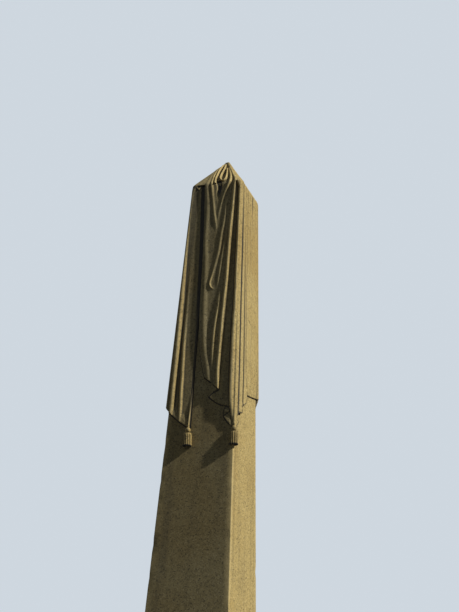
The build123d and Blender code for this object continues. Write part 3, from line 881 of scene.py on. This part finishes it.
def front_upper_return():
    folds = [
        Crest([(0.48, 0.852, 17), (0.33, 0.845, 14), (0.22, 0.845, 12)], 50.0),
        # Painted shade along the hem of the layer that lies over this one
        Hollow(deepened(MIDDLE_HEM, 3), 13.0, dirt_and_shade=1.6),
    ]
    rim = {"thick": 14.0, "dark_rim": 6.0, "fading": (MIDDLE_HEM[0], UPPER_RETURN_TURN)}
    outline = run_on(MIDDLE_HEM, UPPER_RETURN_HEM)
    return Layer(FRONT_ROLLS, 10.0, folds, outline, [UPPER_RETURN_HEM], **rim)


def front_right_fall():
    edges = (MIDDLE_RIGHT_EDGE, UPPER_RETURN_HEM, RIGHT_HEM, LOWER_RETURN_HEM, TIP_HEM)
    folds = [
        FULL_ROLL.crest(1, flank=26.0),
        Crest([(0.66, 0.45, 10), (0.60, 0.70, 14), (0.50, 0.90, 14)], 58.0),
        Hollow([(0.80, -0.01, 6), (0.72, 0.25, 5), (0.68, 0.50, 3)], 48.0),
        # Painted shade along the hems of the layers that lie over this one
        Hollow(deepened(UPPER_RETURN_HEM, 3), 12.0, dirt_and_shade=1.6),
        Hollow(deepened(LOWER_RETURN_HEM, 3), 10.0, dirt_and_shade=1.4),
        Crest([
            (0.965, -0.01, 38), (0.94, 0.18, 41), (0.91, 0.35, 44), (0.89, 0.51, 46),
            (0.852, 0.62, 47), (0.84, 0.72, 47), (0.835, 0.85, 47), (0.845, 0.90, 42),
            (0.90, 0.94, 31), (0.95, 0.97, 23), (0.97, 1.0, 20),
        ], 28.0, 75.0),
    ]
    outline = [(1, 0), *run_on(*edges)]
    rim = {"thick": 15.0, "dark_rim": 3.0}
    return Layer(FRONT_ROLLS, 10.0, folds, outline, [RIGHT_HEM, TIP_HEM], **rim)


def front_lower_return():
    folds = [
        Crest([(0.86, 0.94, 24), (0.74, 0.936, 20), (0.65, 0.93, 17)], 26.0),
        # Painted shade along the hem of the layer that lies over this one
        Hollow(deepened(LOWER_RETURN_TOP, 3), 13.0, dirt_and_shade=1.6),
    ]
    outline = run_on(LOWER_RETURN_TOP, LOWER_RETURN_HEM)
    rim = {"thick": 14.0, "dark_rim": 6.0}
    return Layer(FRONT_ROLLS, 10.0, folds, outline, [LOWER_RETURN_HEM], **rim)


def front_crown():
    """The front of the cloth over the pyramid: smooth on the left, and gathered on the right in
    folds that loop over a deep eye at the shoulder."""
    folds = [
        PLAIN_ROLL.crest(-1),
        FULL_ROLL.crest(1),
        *front_middle_folds(),
        Crest([
            (-0.57, -0.129, 40), (-0.36, -0.088, 44), (-0.24, -0.059, 46), (-0.15, -0.024, 47),
            (-0.03, 0.009, 46), (0.05, 0.027, 42), (0.13, 0.04, 30),
        ], 17.0),
        Crest([
            (0.02, -0.13, 38), (0.06, -0.10, 44), (0.02, -0.062, 46), (0.05, -0.034, 48),
            (0.18, -0.014, 48), (0.30, -0.020, 48), (0.36, -0.045, 46), (0.40, -0.10, 42),
        ], 17.0),
        Crest([(1.0, -0.10, 36), (0.97, -0.05, 38), (0.96, 0.0, 36)], 30.0),
        Crest([(-0.80, -0.12, 31), (-0.74, -0.05, 32), (-0.70, 0.0, 31)], 34.0),
        EYE,
    ]
    return Layer(FRONT_ROLLS, crown_ground, folds, CROWN_OUTLINE)


def crown_ground(share, _):
    """The ground of the front's crown, fuller towards its arrises."""
    return np.interp(share, [-1, -0.45, -0.25, 0.85, 1], [29, 28, 16, 16, 28])


def side_folds():
    """The folds of a side face, in step with the layers that carry them."""
    first_line = [(-0.71, -0.13, 3), *FIRST_GROOVE, (-0.79, 0.95, 7)]
    # The grooves along the creases are painted darker as shade
    first_groove = Groove(first_line, 36.0, dirt_and_shade=1.3)
    corner_roll = [
        first_groove,
        FULL_ROLL.crest(-1),
        Crest([
            (-0.88, -0.13, 30), (-0.88, 0.0, 31), (-0.89, 0.25, 32), (-0.90, 0.50, 33),
            (-0.90, 0.75, 33), (-0.89, 0.99, 32),
        ], 34.0, 44.0),
    ]
    narrow_fall = [
        Crest([(-0.58, -0.13, 28), (-0.60, 0.0, 28), (-0.62, 0.94, 29)], 48.0, 50.0),
        first_groove,
    ]
    middle_fall = [
        Crest([(-0.31, -0.13, 27), (-0.32, 0.0, 28), (-0.33, 0.89, 28)], 42.0),
        Groove([(-0.38, -0.13, 0.5), *SECOND_GROOVE, (-0.41, 0.89, 5)], 18.0, dirt_and_shade=0.9),
    ]
    wide_fall = [
        PLAIN_ROLL.crest(1),
        Crest([
            (-0.08, -0.13, 27), (-0.10, 0.0, 27), (-0.12, 0.72, 26), (-0.12, 0.84, 16),
        ], 36.0, 60.0),
        Crest([(0.20, -0.13, 28), (0.18, 0.0, 29), (0.14, 0.70, 26), (0.12, 0.82, 12)], 70.0, 62.0),
        Groove([
            (-0.22, -0.13, 3), *deepened(SIDE_THIRD_CREASE, 4), (-0.12, 0.80, 4),
        ], 15.0, dirt_and_shade=0.7),
        Groove([
            (0.36, -0.12, 5), (0.337, 0.024, 6), (0.289, 0.084, 5), (0.25, 0.20, 1),
        ], 17.0, dirt_and_shade=0.8),
        Crest([(0.50, -0.13, 28), (0.47, 0.0, 30), (0.42, 0.20, 27), (0.40, 0.80, 14)], 50.0, 90.0),
        Crest([(0.80, -0.13, 28), (0.78, 0.0, 28), (0.75, 0.80, 16)], 80.0, 60.0),
    ]
    return corner_roll, narrow_fall, middle_fall, wide_fall


def wide_ground(_, drop):
    """The ground of a side's wide fall, which thins towards the hem."""
    return np.interp(drop, [0.70, 0.82], [21.0, 11.0])


def side_layers(hem_at_arris):
    corner_folds, narrow_folds, middle_folds, wide_folds = side_folds()
    first = smooth_line([*SIDE_FIRST_CREASE, SIDE_FIRST_TURN])
    second = smooth_line([*SIDE_SECOND_CREASE, SIDE_SECOND_TURN])
    third = smooth_line([*SIDE_THIRD_CREASE, SIDE_THIRD_TURN])
    wide_hem = [(1.0, hem_at_arris), *SIDE_WIDE_HEM]
    corner = [(-1, 0), *first, *smooth_line(SIDE_TIP_HEM)[1:]]
    narrow = [*first[::-1], *second, *smooth_line(SIDE_NARROW_HEM)[1:-1]]
    middle = [*second[::-1], *third, *smooth_line(SIDE_MIDDLE_HEM)[1:-1]]
    wide = [*third[::-1], (1, 0), *smooth_line(wide_hem)[:-1]]
    rim = {"dark_rim": 13.0}
    return {
        "corner_roll": Layer(SIDE_ROLLS, 23.0, corner_folds, corner, [SIDE_TIP_HEM], **rim),
        "narrow_fall": Layer(SIDE_ROLLS, 21.0, narrow_folds, narrow, [SIDE_NARROW_HEM], **rim),
        "middle_fall": Layer(SIDE_ROLLS, 20.0, middle_folds, middle, [SIDE_MIDDLE_HEM], **rim),
        "wide_fall": Layer(SIDE_ROLLS, wide_ground, wide_folds, wide, [wide_hem], thick=10.0),
        "crown": side_crown(),
    }


def side_crown():
    corner_folds, (narrow_crest, _), middle_folds, wide_folds = side_folds()
    folds = [*corner_folds, narrow_crest, *middle_folds, *wide_folds]
    return Layer(SIDE_ROLLS, 21.0, folds, CROWN_OUTLINE)


def front_layers(hem_at_arris):
    return {
        "left_fall": front_left_fall(hem_at_arris),
        "middle_fall": front_middle_fall(),
        "upper_return": front_upper_return(),
        "right_fall": front_right_fall(),
        "lower_return": front_lower_return(),
        "crown": front_crown(),
    }


def turned(name, rings):
    """A mesh skinned over rings of points, all of the same length, from the first ring down."""
    bm = bmesh.new()
    made = [[bm.verts.new(point) for point in ring] for ring in rings]
    for upper, lower in zip(made, made[1:]):
        for index in range(len(upper)):
            after = (index + 1) % len(upper)
            bm.faces.new((upper[index], upper[after], lower[after], lower[index]))
    bm.faces.new(made[0])
    bm.faces.new(made[-1][::-1])
    return skin(bm, name)


# A tassel's outline, from the top of its cord to the foot of its skirt: radius, height from the
# middle of the knob, and how deep its strands are cut there
TASSEL_PROFILE = [
    (8, 48, 0.10), (8, 34, 0.10), (9, 26, 0.10), (16, 21, 0.04), (22, 13, 0.03), (25, 4, 0.03),
    (25, -4, 0.03), (22, -13, 0.03), (15, -20, 0.02), (14, -23, 0.0), (22, -25, 0.02),
    (32, -28, 0.04), (35, -32, 0.05), (33, -36, 0.08), (37, -42, 0.14), (40, -55, 0.20),
    (41, -85, 0.22), (42, -115, 0.22), (43, -140, 0.22), (44, -153, 0.22), (41, -158, 0.20),
]
TASSEL_STRANDS = 14
TASSEL_STEPS = 128
STRAND_TWIST = 0.012
STRAND_SHARPNESS = 1.5
# Painted shade between the strands, at the bound neck and at the foot of the skirt
STRAND_SHADE = 5
NECK_HEIGHT = -25
NECK_REACH = 9
SKIRT_FOOT = -145
FOOT_REACH = 5
NECK_SHADE = 1.6
# The skirt is hollow underneath: rings this much narrower, and this far up inside it, painted in
# the darkest shade
SKIRT_HOLLOW = ((0.93, 0.0), (0.86, 9 * MM))


def tassel_shade(height):
    """How much painted shade darkens the bound neck of a tassel and the foot of its skirt."""
    at_neck = max(0.0, 1 - abs(height - NECK_HEIGHT) / NECK_REACH)
    at_foot = min(1.0, max(0.0, (SKIRT_FOOT - height) / FOOT_REACH))
    return NECK_SHADE * at_neck + NECK_SHADE * at_foot


def tassel(name, x, y, z):
    """A carved tassel: a short cord, a knob, a bound neck and a skirt of strands."""
    rings = []
    cut = []
    for radius, height, depth in smooth_line(TASSEL_PROFILE, per_span=4):
        ring = []
        for step in range(TASSEL_STEPS):
            angle = 2 * math.pi * step / TASSEL_STEPS
            between = 1 - abs(math.sin(angle * TASSEL_STRANDS / 2 + STRAND_TWIST * height))
            reach = radius * (1 - depth * between**STRAND_SHARPNESS)
            aside, along = reach * math.cos(angle) * MM, reach * math.sin(angle) * MM
            ring.append((x + aside, y + along, z + height * MM))
            # The cuts between strands, the neck and the foot are painted darker as shade
            cut.append(min(tassel_shade(height) + between * depth * STRAND_SHADE, DARKEST))
        rings.append(ring)
    for inward, raised in SKIRT_HOLLOW:
        ring = []
        for px, py, pz in rings[-1]:
            ring.append(((px - x) * inward + x, (py - y) * inward + y, pz + raised))
        rings.append(ring)
        cut.extend([DARKEST] * TASSEL_STEPS)
    mesh = turned(name, rings)
    add_attribute(mesh, "hollow", cut)
    return finish_mesh(f"{name}_carved", mesh, crisp=60.0)


# The gathered tip of the cloth
PEAK_RADIUS = 34.0
PEAK_FOOT = 12.0
PEAK_FOLDS = 9
PEAK_UNEVENNESS = 0.4
PEAK_FOLD_DEPTH = 0.22
PEAK_BLUNTNESS = 0.12
PEAK_FULLNESS = 0.8
PEAK_CREASE_TONE = 0.8
PEAK_LEVELS = 16
PEAK_STEPS = 90


def peak(name):
    """The gathered tip of the cloth, where the four crowns' folds meet."""
    low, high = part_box("crown_peak")
    top = high[2]
    foot = low[2] - PEAK_FOOT * MM
    rings = []
    cut = []
    for level in range(PEAK_LEVELS + 1):
        along = level / PEAK_LEVELS
        swell = math.sin(math.pi / 2 * min(1, PEAK_BLUNTNESS + along)) ** PEAK_FULLNESS
        z = top + (foot - top) * along
        ring = []
        for step in range(PEAK_STEPS):
            angle = 2 * math.pi * step / PEAK_STEPS
            wave = abs(math.sin(angle * PEAK_FOLDS / 2 + PEAK_UNEVENNESS * math.sin(angle)))
            reach = PEAK_RADIUS * MM * swell * (1 - PEAK_FOLD_DEPTH + PEAK_FOLD_DEPTH * wave)
            ring.append((reach * math.cos(angle), reach * math.sin(angle), z))
            # Darker in its creases and paler on its crests
            cut.append((1 - wave) * PEAK_CREASE_TONE)
        rings.append(ring)
    mesh = turned(name, rings)
    add_attribute(mesh, "hollow", cut)
    add_attribute(mesh, "worn", [PEAK_CREASE_TONE - depth for depth in cut])
    return finish_mesh(f"{name}_carved", mesh, crisp=60.0)


# The stones' arrises: small chips along their corners, and rounded edges
CHIP_DEPTH = 16 * MM
CHIP_REACH = 0.02
CHIPS_A_METRE = 14.0
CHIP_LEVEL = 0.30
CORNER_STEPS = 4
EDGE_RADIUS = 5 * MM
EDGE_STEPS = 4
EDGE_ROOM = 2.2
SHARP_BEND = math.radians(20)
LONGEST = 0.06
ARRIS = 6.0


def square_ring(half, z, radius, per_side):
    """A square of points with rounded corners, with a few small chips along its arrises."""
    ring = []
    flat = half - radius
    for side in range(4):
        turn = Matrix.Rotation(side * math.pi / 2, 3, "Z")
        for step in range(per_side):
            ring.append(turn @ Vector((-flat + 2 * flat * step / per_side, -half, z)))
        for step in range(CORNER_STEPS):
            angle = math.pi / 2 * step / CORNER_STEPS
            x = flat + radius * math.sin(angle)
            y = -flat - radius * math.cos(angle)
            ring.append(turn @ Vector((x, y, z)))
    for point in ring:
        along = max(0.0, 1 - abs(abs(point.x) - abs(point.y)) / CHIP_REACH)
        if along:
            chipped = max(0.0, noise.noise(point * CHIPS_A_METRE) - CHIP_LEVEL)
            bite = chipped * CHIP_DEPTH * along
            point.x -= math.copysign(bite, point.x)
            point.y -= math.copysign(bite, point.y)
    return ring


def rounded_profile(points):
    """The profile with each of its corners rounded by a small arc, and how worn each point is."""
    made = [(*points[0], 0.0)]
    for before, corner, after in zip(points, points[1:], points[2:]):
        before, corner, after = Vector(before), Vector(corner), Vector(after)
        back = (before - corner).normalized()
        on = (after - corner).normalized()
        if math.pi - back.angle(on) < SHARP_BEND:
            made.append((*corner, 0.0))
            continue
        shorter = min((before - corner).length, (after - corner).length)
        run = min(EDGE_RADIUS, shorter / EDGE_ROOM)
        worn = 1.0 if (corner - (before + after) / 2).x > 0 else 0.0
        for step in range(EDGE_STEPS + 1):
            t = step / EDGE_STEPS
            place = corner + back * run * (1 - t) ** 2 + on * run * t**2
            made.append((*place, worn))
    made.append((*points[-1], 0.0))
    return made


def filled_in(profile):
    """The profile with its long straight lengths divided. Only their ends are worn."""
    made = [profile[0]]
    for start, end in zip(profile, profile[1:]):
        parts = max(1, math.ceil(math.hypot(end[0] - start[0], end[1] - start[1]) / LONGEST))
        for part in range(1, parts + 1):
            t = part / parts
            x, y = [a + (b - a) * t for a, b in zip(start[:2], end[:2])]
            wear = end[2] if part == parts else 0.0
            made.append((x, y, max(start[2], wear) if parts == 1 else wear))
    return made


def square_stone(name, outline, z, arris):
    """A square stone with this half section, drawn from its foot upwards in millimetres."""
    profile = filled_in(rounded_profile([(x * MM, y * MM) for x, y in outline]))
    widest = max(half for half, _, _ in profile)
    per_side = max(8, math.ceil(2 * widest / LONGEST))
    rings = []
    worn = []
    for half, height, wear in profile:
        ring = square_ring(half, z + height, min(arris, half * 0.4), per_side)
        rings.append(ring)
        for point in ring:
            at_corner = abs(abs(point.x) - abs(point.y)) < 3 * arris
            worn.append(1.0 if at_corner else wear)
    mesh = turned(name, rings)
    add_attribute(mesh, "worn", worn)
    return finish_mesh(f"{name}_worn", mesh, crisp=40.0)


def arc(start, end, bulge, steps=12):
    """Points along a circular arc from start to end, which stands this far off their chord, to the
    right of the way along it."""
    start, end = Vector(start), Vector(end)
    chord = end - start
    across = Vector((chord.y, -chord.x)).normalized()
    half = chord.length / 2
    radius = (half * half + bulge * bulge) / (2 * abs(bulge))
    middle = (start + end) / 2 + across * (bulge - math.copysign(radius, bulge))
    first = start - middle
    turn = math.copysign(2 * math.asin(min(1.0, half / radius)), bulge)
    made = []
    for step in range(steps + 1):
        cosine, sine = math.cos(turn * step / steps), math.sin(turn * step / steps)
        x = middle.x + first.x * cosine - first.y * sine
        made.append((x, middle.y + first.x * sine + first.y * cosine))
    return made


# The stones' sections, in millimetres. Each ends near the axis, where the top is closed
WASH_RISE = 26.0
LEDGE = 40.0
FILLET_BAND = 22.0
NEAR_AXIS = 10
TIP_HALF = 3
TIP_SHARE = 0.985


def step_section(half, height):
    return [(half, 0), (half, height - WASH_RISE), (half - LEDGE, height), (NEAR_AXIS, height)]


def plinth_section(half, height):
    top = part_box("die")[1][0] / MM + LEDGE
    band = height * 0.45
    round_top = band + height * 0.2
    torus = arc((half - FILLET_BAND, band), (half - FILLET_BAND, round_top), FILLET_BAND)
    cove = arc((top + FILLET_BAND, round_top), (top, height), -(height - round_top) * 0.16)
    return [(half, 0), (half, band), *torus, *cove, (NEAR_AXIS, height)]


def die_section(half, height):
    return [(half, 0), (half, height), (NEAR_AXIS, height)]


def cap_section(half, height):
    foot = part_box("die")[1][0] / MM + LEDGE / 2
    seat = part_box("shaft_seat")[1][0] / MM
    lip = height * 0.45
    cove = arc((foot, FILLET_BAND), (half - FILLET_BAND, lip), -18.0)
    wash = [(half, height - 2 * WASH_RISE), (seat + FILLET_BAND, height)]
    return [(foot, 0), *cove, (half, lip), *wash, (NEAR_AXIS, height)]


def seat_section(half, height):
    top = FOOT_HALF + LEDGE
    band = height * 0.5
    middle = ((half + top) / 2, (band + height) / 2)
    round_part = arc((half, band), middle, 12.0)
    hollow_part = arc(middle, (top, height), -12.0)
    return [(half, 0), *round_part, *hollow_part[1:], (NEAR_AXIS, height)]


def shaft_section(half, _):
    shoulder = SHOULDER_Z - FOOT_Z
    tip = shoulder + PYRAMID_RISE * TIP_SHARE
    return [(half, 0), (SHAFT_TOP / 2, shoulder), (TIP_HALF, tip)]


# Each stone's section, and the radius of its arrises
STONES = {
    "bottom_step": (step_section, ARRIS),
    "upper_step": (step_section, ARRIS),
    "moulded_plinth": (plinth_section, ARRIS),
    "die": (die_section, 11.0),
    "die_cap": (cap_section, ARRIS),
    "shaft_seat": (seat_section, ARRIS),
    "shaft": (shaft_section, 7.0),
}
BEDS = ("upper_step_bed", "plinth_bed", "die_bed", "cap_bed", "seat_bed", "shaft_bed")
TASSELS = ("front_tassel", "front_right_tassel", "back_tassel", "back_left_tassel")
FACE_TASSELS = ("front_tassel", "back_tassel")
TASSEL_ASIDE = 7.0


def dress_stones(stone):
    for node, (section, arris) in STONES.items():
        low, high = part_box(node)
        outline = section(high[0] / MM, (high[2] - low[2]) / MM)
        piece = square_stone(node, outline, low[2], arris * MM)
        place_piece(piece, node, stone)


def dress_beds(bedding):
    for node in BEDS:
        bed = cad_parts[node]
        bed.data.materials.clear()
        bed.data.materials.append(bedding)


def dress_pall(stone):
    faces = (
        ("front", front_layers(FRONT_HEM)),
        ("right", side_layers(SIDE_HEM)),
        ("back", front_layers(SIDE_HEM)),
        ("left", side_layers(FRONT_HEM)),
    )
    for turns, (side, layers) in enumerate(faces):
        for part, layer in layers.items():
            node = f"{side}_{part}"
            place_piece(carve(node, layer, turns), node, stone)
    place_piece(peak("crown_peak"), "crown_peak", stone)
    knob_z = (SHOULDER_Z - DROP) * MM
    for node in TASSELS:
        low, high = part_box(node)
        x = (low[0] + high[0]) / 2
        y = (low[1] + high[1]) / 2
        if node in FACE_TASSELS:
            x += math.copysign(TASSEL_ASIDE * MM, x)
        place_piece(tassel(node, x, y, knob_z), node, stone)


def set_backdrop():
    """A pale floor and a pale backdrop, and an even fill light from all round."""
    bpy.ops.mesh.primitive_plane_add(size=80, location=(0, 0, 0))
    floor = bpy.context.object
    floor.name = "floor"
    material = bpy.data.materials.new("pale_floor")
    s = Shader(material)
    looks = [s.node("ShaderNodeBsdfDiffuse", {}, {"Color": c}) for c in (FLOOR_CAST, FLOOR_SHOWN)]
    s.two_looks("ShaderNodeOutputMaterial", *looks)
    floor.data.materials.append(material)

    world = bpy.data.worlds.new("studio")
    bpy.context.scene.world = world
    s = Shader(world)
    fill = s.node("ShaderNodeBackground", {}, {"Color": FILL_COLOUR, "Strength": FILL_STRENGTH})
    shown = s.node("ShaderNodeBackground", {}, {"Color": BACKDROP, "Strength": 1.0})
    s.two_looks("ShaderNodeOutputWorld", fill, shown)


def set_lamp(name, comes_from, strength, softness):
    lamp = bpy.data.lights.new(name, "SUN")
    lamp.energy = strength
    lamp.angle = math.radians(softness)
    hung = bpy.data.objects.new(name, lamp)
    hung.rotation_euler = Vector(comes_from).to_track_quat("Z", "Y").to_euler()
    bpy.context.scene.collection.objects.link(hung)


def set_camera():
    turn = math.radians(VIEW_TURN)
    heading = math.radians(VIEW_ASIDE) - turn
    raised = math.radians(VIEW_RAISE)
    roll = math.radians(VIEW_ROLL)
    level = Vector((math.cos(heading), -math.sin(heading), 0))
    x, y = math.sin(heading) * math.cos(raised), math.cos(heading) * math.cos(raised)
    ahead = Vector((x, y, math.sin(raised)))
    upright = level.cross(ahead)
    right = math.cos(roll) * level + math.sin(roll) * upright
    up = -math.sin(roll) * level + math.cos(roll) * upright
    camera = bpy.data.cameras.new("camera")
    camera.lens = LENS
    camera.sensor_width = SENSOR
    camera.clip_end = 200
    viewer = bpy.data.objects.new("camera", camera)
    facing = Matrix((right, up, -ahead)).transposed().to_4x4()
    x, y = VIEW_DISTANCE * math.sin(turn), -VIEW_DISTANCE * math.cos(turn)
    viewer.matrix_world = Matrix.Translation((x, y, EYE_HEIGHT)) @ facing
    bpy.context.scene.collection.objects.link(viewer)
    bpy.context.scene.camera = viewer


def main():
    bpy.context.scene.view_settings.view_transform = "Standard"
    stone = granite("buff_granite", darkening=0.55)
    carved = granite("carved_buff_granite", darkening=0.70)
    dress_stones(stone)
    dress_beds(mortar("lime_mortar"))
    dress_pall(carved)
    set_backdrop()
    set_lamp("key", KEY_FROM, KEY_STRENGTH, KEY_SOFTNESS)
    set_lamp("back_light", BACK_FROM, BACK_STRENGTH, BACK_SOFTNESS)
    set_camera()


main()
